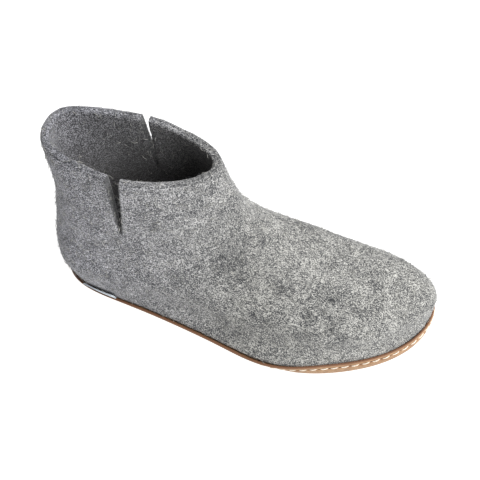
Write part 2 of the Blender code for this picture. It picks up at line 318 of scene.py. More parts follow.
@dataclass(frozen=True)
class SeamLine:
    """The line where felt, rim and thread meet, drawn from the same sizes as the solids.

    The rim stands upright round the toe and tucks under at the waist and the heel.
    """

    back: tuple[float, float] = (-128.0, 4.5)
    front: tuple[float, float] = (130.5, 12.0)
    bow: float = -11.5
    skew: float = -1.5
    stations: tuple[float, ...] = (0.12, 0.38, 0.60, 0.78, 0.92)
    half_widths: tuple[float, ...] = (27.0, 34.5, 43.5, 43.0, 32.0)
    joint_bulge: float = 5.5
    joint_place: float = 0.63
    joint_spread: float = 0.12
    tuck_end: float = 0.53
    upright_start: float = 0.80
    rim_top: EdgeLine = EdgeLine(1.0, 12.0, 1.1, 7.5)
    groove: EdgeLine = EdgeLine(1.75, 9.0, -0.55, 5.1)
    spring_start: float = 40.0
    spring_end: float = 135.0
    toe_spring: float = 11.5
    arch_middle: float = -30.0
    arch_half_length: float = 45.0
    arch_reach: float = 40.0
    arch_fade_height: float = 50.0
    arch_lift: float = 2.5
    drawing_middle: tuple[float, float] = (0.137, -2.051)
    fineness: int = 2880

    def lift(self, points: np.ndarray) -> np.ndarray:
        """Work out how far the sole's shape lifts points that were drawn on a flat floor.

        Args:
            points: Points in the boot's frame.

        Returns:
            The lift of each point.
        """
        x = points[:, 0] + self.drawing_middle[0]
        y = points[:, 1] + self.drawing_middle[1]
        spring = np.clip((x - self.spring_start) / (self.spring_end - self.spring_start), 0.0, None)
        waist = smoothstep(1.0 - np.abs(x - self.arch_middle) / self.arch_half_length)
        inner_side = smoothstep(y / self.arch_reach)
        low = np.clip(1.0 - points[:, 2] / self.arch_fade_height, 0.0, 1.0)
        return self.toe_spring * spring**2 + self.arch_lift * waist * inner_side * low

    def outline(self) -> np.ndarray:
        """Return the seam line seen from above, as a closed ring of fine steps."""
        angle = np.linspace(0.0, math.tau, self.fineness, endpoint=False)
        along = (1.0 - np.cos(angle)) / 2.0
        width = np.zeros_like(along)
        for station, half_width in zip(self.stations, self.half_widths):
            weight = np.full_like(along, half_width / math.sqrt(station * (1.0 - station)))
            for other in self.stations:
                if other != station:
                    weight = weight * (along - other) / (station - other)
            width += weight
        width *= np.sqrt(along * (1.0 - along))
        bulge = self.joint_bulge * np.exp(-(((along - self.joint_place) / self.joint_spread) ** 2))
        side = np.where(np.sin(angle) >= 0.0, 1.0, -1.0)
        width += np.where(side < 0.0, bulge, 0.0)
        bend = 4.0 * along * (1.0 - along) * (self.bow + self.skew * (2.0 * along - 1.0))
        x = self.back[0] + (self.front[0] - self.back[0]) * along - self.drawing_middle[0]
        y = self.back[1] + (self.front[1] - self.back[1]) * along + bend + side * width
        return np.stack([x, y - self.drawing_middle[1]], axis=-1)

    def upright(self, x: np.ndarray) -> np.ndarray:
        """Work out how upright the rim stands at places along the boot.

        Args:
            x: Places along the boot, in its frame.

        Returns:
            0 where the rim is tucked under, up to 1 where it is upright.
        """
        along = (x + self.drawing_middle[0] - self.back[0]) / (self.front[0] - self.back[0])
        return smoothstep((along - self.tuck_end) / (self.upright_start - self.tuck_end))

    def height(self, edge: EdgeLine, x: np.ndarray) -> np.ndarray:
        """Return how high above the tread an edge line runs at places along the boot."""
        return edge.heel_height + (edge.toe_height - edge.heel_height) * self.upright(x)

    def ring(self, edge: EdgeLine) -> np.ndarray:
        """Return the points of an edge line, a closed ring in fine steps."""
        line = self.outline()
        tangent = np.roll(line, -1, axis=0) - np.roll(line, 1, axis=0)
        outward = np.stack([-tangent[:, 1], tangent[:, 0]], axis=-1)
        outward /= np.linalg.norm(outward, axis=-1, keepdims=True)
        outset = edge.heel_outset + (edge.toe_outset - edge.heel_outset) * self.upright(line[:, 0])
        flat = np.column_stack([line + outset[:, None] * outward, self.height(edge, line[:, 0])])
        flat[:, 2] += self.lift(flat)
        return flat

    def lengths(self) -> tuple[np.ndarray, float]:
        """Return the length along the seam at each step of its outline, and its whole length."""
        line = self.outline()
        steps = np.linalg.norm(np.roll(line, -1, axis=0) - line, axis=-1)
        return np.concatenate([[0.0], np.cumsum(steps)[:-1]]), float(steps.sum())

    def paint_run(self, piece: bpy.types.Object) -> None:
        """Store how far along the seam each point is, and how it lies to tread, rim top and groove."""
        points = points_of(piece)
        line = self.outline()
        run, _ = self.lengths()
        nearest = np.empty(len(points), dtype=int)
        for place, point in enumerate(points):
            nearest[place] = np.argmin(((line - point[:2]) ** 2).sum(axis=-1))
        rise = points[:, 2] - self.lift(points)
        paint(piece, "run", run[nearest])
        paint(piece, "rise", rise)
        paint(piece, "down", self.height(self.rim_top, line[nearest, 0]) - rise)
        paint(piece, "off", rise - self.height(self.groove, line[nearest, 0]))


@dataclass(frozen=True)
class WoolLayer:
    """A layer of wool on a cut edge: its place across the felt, and how dark it is, both from 0 to 1."""

    place: float
    darkness: float


@dataclass(frozen=True)
class FeltFinish:
    """Felted sheep's wool, fulled on a last: matt and cloudy, with light and dark fibres all over.

    The dark and light tones are of the wool itself. Over them the material paints shade inside the boot,
    more of it deeper down, painted shadow on the slit lips, painted shade on faces turned from a fixed lit
    side, a cooler painted shade towards the heel, and some wide patches and a line of painted shade among
    the darker tufts. Real strands are finer than a picture of the whole boot can show, so they are drawn
    about 0.5 mm wide, as the tufts that the eye sees. Their turns are in radians about X, Y and Z.
    """

    name: str
    dark: str
    light: str
    cool_dark: str
    cool_light: str
    # Colour of the darker tufts, and of the painted shade patches and the painted shadow line
    stain_and_shade: str = "#1c1f24"
    # Colour of the painted shadow on the slit lips
    slit_lip_shadow: str = "#1b1b1c"
    layer: str = "#232425"
    # Colour of the painted shade inside the boot, and how much of it is mixed in
    inside: str = "#282522"
    inside_shade_share: float = 0.4
    speckle_start: float = 0.8
    speckle_end: float = 1.25
    speckle_least: float = 0.6
    layers: tuple[WoolLayer, ...] = (
        WoolLayer(0.14, 0.0),
        WoolLayer(0.26, 0.8),
        WoolLayer(0.36, 0.2),
        WoolLayer(0.48, 0.6),
        WoolLayer(0.58, 0.2),
        WoolLayer(0.70, 0.4),
        WoolLayer(0.80, 0.9),
        WoolLayer(0.92, 0.0),
    )
    layer_waver: float = 0.3
    cloud_size: float = 24.0
    patch_size: float = 7.5
    tuft_size: float = 2.6
    grain_size: float = 0.65
    cloud_detail: float = 3.0
    patch_detail: float = 2.0
    fine_detail: float = 1.0
    noise_roughness: float = 0.6
    strand_length: float = 2.6
    strand_width: float = 0.5
    curl_size: float = 5.0
    curl_reach: float = 5.0
    strand_turns: tuple[tuple[float, float, float], ...] = (
        (0.2, 0.5, 0.3),
        (1.1, 0.2, 1.4),
        (0.4, 1.2, 2.2),
        (1.5, 0.9, 0.8),
    )
    cloud_share: float = 0.7
    patch_share: float = 0.55
    tuft_share: float = 0.4
    grain_share: float = 2.3
    strand_share: float = 1.0
    contrast_boost: float = 1.5
    # How much painted shade darkens faces turned from the lit side and the inside
    contrast_shade: float = -0.15
    middle_tone: float = 0.3
    # Along X, where the cooler painted shade of the heel end starts and where it is full
    cool_start: float = 10.0
    cool_end: float = -110.0
    bump_height: float = 0.35
    bump_strength: float = 0.4
    roughness: float = 0.95
    sheen: float = 0.22
    sheen_roughness: float = 0.5

    def material(self) -> bpy.types.Material:
        """Make the felt's material.

        Returns:
            The material, which reads the darker tufts and painted shade patches, the painted shadow on the
            slit lips, the painted shade inside, and the grain strength with its painted side shade.
        """
        material, tree, shader = new_material(self.name)
        place = add_node(tree, "ShaderNodeTexCoord").outputs["Object"]
        stain_and_shade, slit_lip_shadow, inside, contrast_and_shade = (
            add_node(tree, "ShaderNodeAttribute", attribute_name=name).outputs["Fac"]
            for name in ("stain_and_shade", "slit_lip_shadow", "inside", "contrast_and_shade")
        )
        patterns = []
        for size, detail in (
            (self.cloud_size, self.cloud_detail),
            (self.patch_size, self.patch_detail),
            (self.tuft_size, self.fine_detail),
            (self.grain_size, self.fine_detail),
        ):
            values = {"Scale": 1.0 / (size * MM), "Detail": detail, "Roughness": self.noise_roughness}
            noise = add_node(tree, "ShaderNodeTexNoise", {"Vector": place}, values)
            patterns.append(noise.outputs["Fac"])
        cloud, patch, tuft, grain = patterns
        strands = self.strands(tree, place)
        coarse = self.blend(
            tree,
            self.middle_tone,
            ((cloud, self.cloud_share), (patch, self.patch_share), (tuft, self.tuft_share)),
        )
        fine = self.blend(tree, 0.0, ((grain, self.grain_share), (strands, self.strand_share)))
        values = {1: self.contrast_boost, 2: 1.0}
        boost = add_node(tree, "ShaderNodeMath", {0: contrast_and_shade}, values, operation="MULTIPLY_ADD").outputs[0]
        # The coarse tone is lowered by painted shade on faces turned from the lit side and inside
        links = {0: contrast_and_shade, 2: coarse}
        values = {1: self.contrast_shade}
        ground = add_node(tree, "ShaderNodeMath", links, values, operation="MULTIPLY_ADD").outputs[0]
        links = {0: fine, 1: boost, 2: ground}
        tone = add_node(tree, "ShaderNodeMath", links, operation="MULTIPLY_ADD").outputs[0]
        wools = []
        for dark, light in ((self.dark, self.light), (self.cool_dark, self.cool_light)):
            values = {MIX_A: linear(dark), MIX_B: linear(light)}
            wool = add_node(tree, "ShaderNodeMix", {0: tone}, values, data_type="RGBA")
            wools.append(wool.outputs[MIX_RESULT])
        warm, cool = wools
        # The heel end is tinted cooler as painted shade
        along = add_node(tree, "ShaderNodeSeparateXYZ", {0: place}).outputs["X"]
        ends = {1: self.cool_start * MM, 2: self.cool_end * MM}
        painted_heel_coolness = add_node(tree, "ShaderNodeMapRange", {0: along}, ends).outputs[0]
        links = {0: painted_heel_coolness, MIX_A: warm, MIX_B: cool}
        colour = add_node(tree, "ShaderNodeMix", links, data_type="RGBA").outputs[MIX_RESULT]
        relief = add_node(tree, "ShaderNodeMath", {0: strands, 1: grain}, operation="ADD").outputs[0]
        ends = {1: self.speckle_end, 2: self.speckle_start, 3: self.speckle_least}
        speckle = add_node(tree, "ShaderNodeMapRange", {0: relief}, ends).outputs[0]
        # Painted shade inside the boot, stronger deeper down
        values = {1: self.inside_shade_share}
        shaded = add_node(tree, "ShaderNodeMath", {0: inside}, values, operation="MULTIPLY").outputs[0]
        # Darker tufts with painted shade patches, painted shadow on the slit lips and darker edge layers,
        # each broken by light speckles
        tints = []
        edges = self.cut_layers(tree, tuft)
        for amount, tint in ((stain_and_shade, self.stain_and_shade), (slit_lip_shadow, self.slit_lip_shadow), (edges, self.layer)):
            broken = add_node(tree, "ShaderNodeMath", {0: amount, 1: speckle}, operation="MULTIPLY")
            tints.append((broken.outputs[0], tint))
        for amount, tint in (*tints, (shaded, self.inside)):
            links = {0: amount, MIX_A: colour}
            values = {MIX_B: linear(tint)}
            colour = add_node(tree, "ShaderNodeMix", links, values, data_type="RGBA").outputs[MIX_RESULT]
        values = {"Strength": self.bump_strength, "Distance": self.bump_height * MM}
        bump = add_node(tree, "ShaderNodeBump", {"Height": relief}, values)
        tree.links.new(colour, shader.inputs["Base Color"])
        tree.links.new(bump.outputs[0], shader.inputs["Normal"])
        shader.inputs["Roughness"].default_value = self.roughness
        shader.inputs["Sheen Weight"].default_value = self.sheen
        shader.inputs["Sheen Roughness"].default_value = self.sheen_roughness
        return material

    def blend(
        self,
        tree: bpy.types.NodeTree,
        middle: float,
        shares: tuple[tuple[bpy.types.NodeSocket, float], ...],
    ) -> bpy.types.NodeSocket:
        """Return the sum of patterns, each with its share, about a middle value."""
        (first, first_share), *others = shares
        values = {1: first_share, 2: middle - NOISE_MIDDLE * sum(share for _, share in shares)}
        total = add_node(tree, "ShaderNodeMath", {0: first}, values, operation="MULTIPLY_ADD").outputs[0]
        for pattern, share in others:
            links = {0: pattern, 2: total}
            total = add_node(tree, "ShaderNodeMath", links, {1: share}, operation="MULTIPLY_ADD").outputs[0]
        return total

    def cut_layers(
        self, tree: bpy.types.NodeTree, waver: bpy.types.NodeSocket
    ) -> bpy.types.NodeSocket:
        """Return how dark the wavering layers of wool are that show on a cut edge."""
        across = add_node(tree, "ShaderNodeAttribute", attribute_name="across").outputs["Fac"]
        shift = self.blend(tree, 0.0, ((waver, self.layer_waver),))
        place = add_node(tree, "ShaderNodeMath", {0: across, 1: shift}, operation="ADD").outputs[0]
        ramp = add_node(tree, "ShaderNodeValToRGB", {0: place})
        stops = ramp.color_ramp.elements
        stops[0].color = (0.0, 0.0, 0.0, 1.0)
        stops[1].color = (0.0, 0.0, 0.0, 1.0)
        for layer in self.layers:
            stops.new(layer.place).color = (layer.darkness, layer.darkness, layer.darkness, 1.0)
        return ramp.outputs[0]

    def strands(
        self, tree: bpy.types.NodeTree, place: bpy.types.NodeSocket
    ) -> bpy.types.NodeSocket:
        """Return wavy tufts that lie across each other, the light over the dark."""
        wide = 1.0 / (self.strand_width * MM)
        long = 1.0 / (self.strand_length * MM)
        values = {"Scale": 1.0 / (self.curl_size * MM), "Detail": 0.0}
        curl = add_node(tree, "ShaderNodeTexNoise", {"Vector": place}, values).outputs["Color"]
        reach = (self.curl_reach * MM,) * 3
        bent = add_node(
            tree, "ShaderNodeVectorMath", {0: curl, 2: place}, {1: reach}, operation="MULTIPLY_ADD"
        ).outputs[0]
        lightest = None
        darkest = None
        for turn in self.strand_turns:
            values = {"Rotation": turn, "Scale": (long, wide, wide)}
            turned = add_node(tree, "ShaderNodeMapping", {"Vector": bent}, values).outputs[0]
            values = {"Scale": 1.0, "Detail": 0.0}
            tuft = add_node(tree, "ShaderNodeTexNoise", {"Vector": turned}, values).outputs["Fac"]
            if lightest is None:
                lightest = tuft
                darkest = tuft
                continue
            links = {0: lightest, 1: tuft}
            lightest = add_node(tree, "ShaderNodeMath", links, operation="MAXIMUM").outputs[0]
            links = {0: darkest, 1: tuft}
            darkest = add_node(tree, "ShaderNodeMath", links, operation="MINIMUM").outputs[0]
        both = add_node(tree, "ShaderNodeMath", {0: lightest, 1: darkest}, operation="ADD").outputs[0]
        values = {1: NOISE_MIDDLE}
        return add_node(tree, "ShaderNodeMath", {0: both}, values, operation="SUBTRACT").outputs[0]


@dataclass(frozen=True)
class FibreFinish:
    """Single wool fibres: each has one tone of the heather, from charcoal to raw white."""

    name: str = "wool fibre"
    dark: str = "#4d5058"
    middle: str = "#96968f"
    light: str = "#d9d7d0"
    middle_place: float = 0.5
    roughness: float = 0.8

    def material(self) -> bpy.types.Material:
        """Return the fibres' material, which reads each fibre's tone."""
        material, tree, shader = new_material(self.name)
        tone = add_node(tree, "ShaderNodeAttribute", attribute_name="tone").outputs["Fac"]
        ramp = add_node(tree, "ShaderNodeValToRGB", {0: tone})
        ramp.color_ramp.elements[0].color = linear(self.dark)
        ramp.color_ramp.elements[1].color = linear(self.light)
        ramp.color_ramp.elements.new(self.middle_place).color = linear(self.middle)
        tree.links.new(ramp.outputs[0], shader.inputs["Base Color"])
        shader.inputs["Roughness"].default_value = self.roughness
        return material


@dataclass(frozen=True)
class LeatherFinish:
    """Vegetable-tanned cowhide: warm tan, satin, with pores, a burnt-brown cut edge and needle holes."""

    name: str = "vegetable-tanned leather"
    tan: str = "#a98663"
    pale: str = "#b39473"
    brown: str = "#8f6a49"
    edge: str = "#76523a"
    # Colour of the needle holes, painted dark as their shade
    needle_hole_shade: str = "#38261a"
    edge_start: float = 0.25
    edge_end: float = 0.65
    # Half-width of the darker groove, darkened for dirt and painted shade
    groove_dirt_and_shade_half: float = 1.0
    hole_half_run: float = 0.85
    hole_half_rise: float = 0.65
    hole_core: float = 0.6
    pale_height: float = 4.0
    mottle_size: float = 5.0
    mottle_detail: float = 5.0
    mottle_roughness: float = 0.65
    mottle_start: float = 0.35
    mottle_end: float = 0.6
    pore_size: float = 0.7
    bump_height: float = 0.12
    bump_strength: float = 0.5
    roughness_least: float = 0.48
    roughness_most: float = 0.7

    def material(self, pitch: float) -> bpy.types.Material:
        """Make the leather's material.

        Args:
            pitch: The distance between needle holes.

        Returns:
            The material, which reads how each point lies to the seam, the tread, the top and the groove.
        """
        material, tree, shader = new_material(self.name)
        place = add_node(tree, "ShaderNodeTexCoord").outputs["Object"]
        run, rise, down, off = (
            add_node(tree, "ShaderNodeAttribute", attribute_name=name).outputs["Fac"]
            for name in ("run", "rise", "down", "off")
        )
        values = {
            "Scale": 1.0 / (self.mottle_size * MM),
            "Detail": self.mottle_detail,
            "Roughness": self.mottle_roughness,
        }
        mottle = add_node(tree, "ShaderNodeTexNoise", {"Vector": place}, values).outputs["Fac"]
        values = {"Scale": 1.0 / (self.pore_size * MM)}
        pores = add_node(tree, "ShaderNodeTexVoronoi", {"Vector": place}, values).outputs["Distance"]
        groove = self.size(tree, off, 1.0)
        values = {1: pitch / 2.0}
        nearest = add_node(tree, "ShaderNodeMath", {0: run}, values, operation="PINGPONG").outputs[0]
        beside = self.size(tree, nearest, self.hole_half_run)
        above = self.size(tree, off, self.hole_half_rise)
        ring = add_node(tree, "ShaderNodeMath", {0: beside, 1: above}, operation="MAXIMUM").outputs[0]
        values = {1: self.mottle_start, 2: self.mottle_end}
        amount = add_node(tree, "ShaderNodeMapRange", {0: mottle}, values).outputs[0]
        values = {MIX_A: linear(self.brown), MIX_B: linear(self.tan)}
        colour = add_node(tree, "ShaderNodeMix", {0: amount}, values, data_type="RGBA").outputs[MIX_RESULT]
        for value, tint, start, end in (
            (rise, self.pale, 0.0, self.pale_height),
            # The groove darker, as dirt and painted shade
            (groove, self.brown, 0.0, self.groove_dirt_and_shade_half),
            # Needle holes painted dark as shade
            (ring, self.needle_hole_shade, self.hole_core, 1.0),
            (down, self.edge, self.edge_start, self.edge_end),
        ):
            amount = add_node(tree, "ShaderNodeMapRange", {0: value}, {1: start, 2: end}).outputs[0]
            links = {0: amount, MIX_B: colour}
            values = {MIX_A: linear(tint)}
            colour = add_node(tree, "ShaderNodeMix", links, values, data_type="RGBA").outputs[MIX_RESULT]
        values = {3: self.roughness_least, 4: self.roughness_most}
        gloss = add_node(tree, "ShaderNodeMapRange", {0: mottle}, values).outputs[0]
        values = {"Strength": self.bump_strength, "Distance": self.bump_height * MM}
        bump = add_node(tree, "ShaderNodeBump", {"Height": pores}, values)
        tree.links.new(colour, shader.inputs["Base Color"])
        tree.links.new(gloss, shader.inputs["Roughness"])
        tree.links.new(bump.outputs[0], shader.inputs["Normal"])
        return material

    def size(
        self, tree: bpy.types.NodeTree, value: bpy.types.NodeSocket, unit: float
    ) -> bpy.types.NodeSocket:
        """Return the size of a value, whichever its sign, in a unit."""
        scaled = add_node(tree, "ShaderNodeMath", {0: value}, {1: unit}, operation="DIVIDE").outputs[0]
        return add_node(tree, "ShaderNodeMath", {0: scaled}, operation="ABSOLUTE").outputs[0]


def two_tone(
    tree: bpy.types.NodeTree,
    shader: bpy.types.Node,
    pattern: bpy.types.NodeSocket,
    tones: tuple[str, str],
    height: float,
) -> None:
    """Colour a yarn by the pattern of its twist or weave, its low places darker as painted shade, and raise
    the pattern a little.

    Args:
        tree: The yarn's node tree.
        shader: Its Principled shader.
        pattern: The pattern, from 0 to 1.
        tones: The hex colours of its low places, painted as shade, and of its high places.
        height: How far its high places stand up, in millimetres.
    """
    values = {MIX_A: linear(tones[0]), MIX_B: linear(tones[1])}
    colour = add_node(tree, "ShaderNodeMix", {0: pattern}, values, data_type="RGBA")
    values = {"Strength": YARN_BUMP_STRENGTH, "Distance": height * MM}
    bump = add_node(tree, "ShaderNodeBump", {"Height": pattern}, values)
    tree.links.new(colour.outputs[MIX_RESULT], shader.inputs["Base Color"])
    tree.links.new(bump.outputs[0], shader.inputs["Normal"])


@dataclass(frozen=True)
class ThreadFinish:
    """Waxed linen thread: cream, softly glossy, with the twist of its plies."""

    name: str = "waxed linen thread"
    # The low places of the twist are painted darker as shade
    shade: str = "#e0d6c4"
    cream: str = "#f3ebdd"
    ply_pitch: float = 0.7
    ply_waver: float = 0.6
    bump_height: float = 0.06
    roughness: float = 0.55

    def material(self) -> bpy.types.Material:
        """Return the thread's material."""
        material, tree, shader = new_material(self.name)
        place = add_node(tree, "ShaderNodeTexCoord").outputs["Object"]
        values = {"Scale": 1.0 / (self.ply_pitch * MM) / math.tau, "Distortion": self.ply_waver}
        plies = add_node(
            tree, "ShaderNodeTexWave", {"Vector": place}, values, bands_direction="DIAGONAL"
        ).outputs["Fac"]
        two_tone(tree, shader, plies, (self.shade, self.cream), self.bump_height)
        shader.inputs["Roughness"].default_value = self.roughness
        return material


@dataclass(frozen=True)
class TapeFinish:
    """Woven tape: plain weave in light blue-grey yarn, matt, with nothing on it."""

    name: str = "woven tape"
    # The low places of the weave are painted darker as shade
    low: str = "#a9b2bc"
    high: str = "#dde3e8"
    yarn: float = 0.6
    bump_height: float = 0.12
    roughness: float = 0.8

    def material(self) -> bpy.types.Material:
        """Return the tape's material, which reads the run along the seam and the rise."""
        material, tree, shader = new_material(self.name)
        threads = []
        for layer in ("run", "rise"):
            along = add_node(tree, "ShaderNodeAttribute", attribute_name=layer).outputs["Fac"]
            values = {1: math.pi / self.yarn}
            turn = add_node(tree, "ShaderNodeMath", {0: along}, values, operation="MULTIPLY").outputs[0]
            threads.append(add_node(tree, "ShaderNodeMath", {0: turn}, operation="SINE").outputs[0])
        links = {0: threads[0], 1: threads[1]}
        crossing = add_node(tree, "ShaderNodeMath", links, operation="MULTIPLY").outputs[0]
        # The crossing goes from -1 to 1, and the weave from 0 to 1
        values = {1: 0.5, 2: 0.5}
        weave = add_node(tree, "ShaderNodeMath", {0: crossing}, values, operation="MULTIPLY_ADD").outputs[0]
        two_tone(tree, shader, weave, (self.low, self.high), self.bump_height)
        shader.inputs["Roughness"].default_value = self.roughness
        return material


@dataclass(frozen=True)
class Crease:
    """A soft trough or ridge in the felt, along a straight line between points near its face."""

    name: str
    fold: Fold
    depth: float
    width: float
    points: tuple[tuple[float, float, float], ...]


@dataclass(frozen=True)
class Spot:
    """A tuft of darker wool in the felt, or a wide patch of painted shade: where it is, how wide, and how
    dark from 0 to 1.
    """

    x: float
    y: float
    z: float
    radius: float
    darkness: float


@dataclass(frozen=True)
class ShadowStreak:
    """A line of painted shadow in the felt: its ends, how wide, and how dark from 0 to 1."""

    start: tuple[float, float, float]
    end: tuple[float, float, float]
    radius: float
    darkness: float


@dataclass
class FeltUpper:
    """The felt upper: one seamless wall, with soft creases, an uneven face and cut edges."""

    finish: FeltFinish
    seam: SeamLine
    edge_angle: float = 55.0
    edge_keep: float = 0.55
    levels: int = 2
    lump_size: float = 22.0
    lump_height: float = 1.2
    dimple_size: float = 6.0
    dimple_height: float = 0.5
    collar_top: float = 120.0
    edge_slope: float = 0.35
    edge_margin: float = 0.2
    lip_start: float = 0.5
    lip_spread: float = 0.3
    inside_contrast_and_shade: float = 1.1
    # Faces turned to this fixed side are painted as lit, with less grain and less painted shade
    painted_lit_side: tuple[float, float, float] = (0.45, -0.45, 0.77)
    least_painted_lit: float = 0.3
    shade_top: float = 135.0
    shade_depth: float = 60.0
    slit_x: float = -73.0
    slit_reach: float = 11.0
    slit_bottom: float = 86.0
    shaft_middle: tuple[float, float] = (-74.0, 4.0)
    shaft_bottom: float = 45.0
    nap_gap: float = 1.2
    inside_nap: float = 0.25
    creases: tuple[Crease, ...] = (
        Crease("outer pucker", Fold.RIDGE, 0.9, 2.2, ((-73.0, -29.0, 85.0), (-70.0, -31.0, 81.0))),
        Crease("outer pull", Fold.TROUGH, 0.7, 3.5, ((-77.0, -30.0, 85.0), (-82.0, -32.0, 75.0))),
        Crease("inner pucker", Fold.RIDGE, 0.9, 2.2, ((-68.0, 38.0, 85.0), (-65.0, 39.0, 81.0))),
        Crease("inner pull", Fold.TROUGH, 0.7, 3.5, ((-72.0, 37.0, 85.0), (-78.0, 38.0, 75.0))),
        Crease("outer ankle", Fold.TROUGH, 1.2, 12.0, ((-30.0, -30.0, 86.0), (-4.0, -20.0, 84.0))),
        Crease("front ankle", Fold.TROUGH, 1.2, 12.0, ((-4.0, -20.0, 84.0), (8.0, 8.0, 84.0))),
        Crease("inner ankle", Fold.TROUGH, 1.2, 12.0, ((8.0, 8.0, 84.0), (-25.0, 36.0, 86.0))),
        Crease("heel hollow", Fold.TROUGH, 0.9, 10.0, ((-84.0, -33.0, 74.0), (-116.0, -28.0, 62.0))),
    )
    spots: tuple[Spot, ...] = (
        Spot(66.6, -17.7, 52.6, 2.2, 1.0),
        Spot(54.9, -29.7, 47.0, 3.0, 1.0),
        Spot(53.4, -38.0, 35.0, 6.0, 0.5),
        Spot(53.4, -40.5, 28.2, 3.5, 0.6),
        Spot(40.4, -40.2, 35.4, 4.5, 0.5),
        Spot(69.5, -34.1, 42.2, 4.5, 0.45),
        Spot(76.5, -34.8, 38.7, 4.0, 0.5),
        Spot(91.9, -30.2, 29.8, 3.0, 0.4),
        Spot(33.4, -19.3, 56.1, 3.0, 0.6),
        Spot(10.8, -9.1, 68.4, 5.0, 0.5),
        Spot(8.9, -40.1, 17.2, 6.0, 0.45),
        Spot(93.0, 5.4, 55.1, 4.0, 0.3),
        Spot(-12.3, -5.3, 99.2, 3.0, 0.7),
        Spot(-36.7, -21.5, 87.4, 4.0, 0.4),
        # These two wide spots are painted shade on the instep and the shaft, not tufts
        Spot(2.0, -6.0, 76.0, 28.0, 0.36),
        Spot(-25.0, -25.0, 95.0, 40.0, 0.16),
    )
    shadow_streaks: tuple[ShadowStreak, ...] = (
        # A painted shadow line along the inner slit and below it
        ShadowStreak((-71.6, 29.8, 117.3), (-66.8, 34.4, 79.2), 1.7, 1.0),
    )

    def build(self) -> bpy.types.Object:
        """Model the upper from its solid and dress it.

        Returns:
            The finished piece.
        """
        piece = rounded_copy("upper", "felt_upper", self.edge_angle, self.edge_keep, self.levels)
        self.fold(piece)
        roughen(piece, "felt lumps", self.lump_size, self.lump_height)
        roughen(piece, "felt dimples", self.dimple_size, self.dimple_height)
        self.mark(piece)
        piece.data.materials.append(self.finish.material())
        put_on_boot(piece, "upper")
        return piece

    def fold(self, piece: bpy.types.Object) -> None:
        """Press the creases into the wall, both of its faces together."""
        points = points_of(piece)
        normals = normals_of(piece)
        moves = np.zeros_like(points)
        for crease in self.creases:
            near = [np.argmin(((points - np.array(end)) ** 2).sum(axis=-1)) for end in crease.points]
            outward = normals[near].mean(axis=0)
            outward /= np.linalg.norm(outward)
            gap = gap_to_line(points, points[near[0]], points[near[-1]])
            strength = np.exp(-((gap / crease.width) ** 2))
            moves += crease.fold.value * crease.depth * strength[:, None] * outward
            LOG.debug("%s: %s", crease.name, crease.fold.name)
        move_points(piece, points + moves)

    def mark(self, piece: bpy.types.Object) -> None:
        """Store the painted shadow on the slit lips, the darker tufts and painted shade patches, the
        painted shade inside and on faces turned from the lit side, the grain strength, and where fibres
        stand.
        """
        points = points_of(piece)
        normals = normals_of(piece)
        away = points[:, :2] - np.array(self.shaft_middle)
        facing_in = (normals[:, :2] * away).sum(axis=-1) < 0.0
        shaft = points[:, 2] > self.slit_bottom
        beside = (np.abs(points[:, 0] - self.slit_x) < self.slit_reach) & shaft
        # The slit lips get painted shadow
        lips = smoothstep((np.abs(normals[:, 0]) - self.lip_start) / self.lip_spread) * beside
        paint(piece, "slit_lip_shadow", lips)
        edge = (points[:, 2] > self.collar_top) & (normals[:, 2] > self.edge_slope) | (lips > 0.0)
        inside = (facing_in & ~edge & (points[:, 2] > self.shaft_bottom)).astype(float)
        # Painted shade on the inner faces of the shaft, growing to twice as strong lower down
        depth = np.clip((self.shade_top - points[:, 2]) / self.shade_depth, 0.0, 1.0)
        paint(piece, "inside", inside * (1.0 + depth))
        # Stronger grain and painted shade on faces turned from the lit side, and more of both inside
        painted_lit_share = np.clip(normals @ np.array(self.painted_lit_side), self.least_painted_lit, 1.0)
        paint(piece, "contrast_and_shade", 1.0 - painted_lit_share + self.inside_contrast_and_shade * inside)
        from_outside = gap_to_points(points[edge], points[shaft & ~edge & ~facing_in])
        from_inside = gap_to_points(points[edge], points[shaft & ~edge & facing_in])
        across = (facing_in & shaft).astype(float)
        share = from_outside / (from_outside + from_inside)
        across[edge] = self.edge_margin + (1.0 - 2.0 * self.edge_margin) * share
        paint(piece, "across", across)
        # Darker tufts, with wide patches of painted shade and a painted shadow line
        stain_and_shade = np.zeros(len(points))
        for spot in self.spots:
            gap = np.linalg.norm(points - np.array([spot.x, spot.y, spot.z]), axis=-1)
            stain_and_shade = np.maximum(stain_and_shade, spot.darkness * np.exp(-((gap / spot.radius) ** 2)))
        for shadow_streak in self.shadow_streaks:
            gap = gap_to_line(points, np.array(shadow_streak.start), np.array(shadow_streak.end))
            stain_and_shade = np.maximum(stain_and_shade, shadow_streak.darkness * np.exp(-((gap / shadow_streak.radius) ** 2)))
        paint(piece, "stain_and_shade", stain_and_shade)
        rise = points[:, 2] - self.seam.lift(points)
        nap_bottom = self.seam.height(self.seam.rim_top, points[:, 0]) + self.nap_gap
        paint(piece, "nap", np.where(inside > 0.0, self.inside_nap, 1.0) * (rise > nap_bottom))


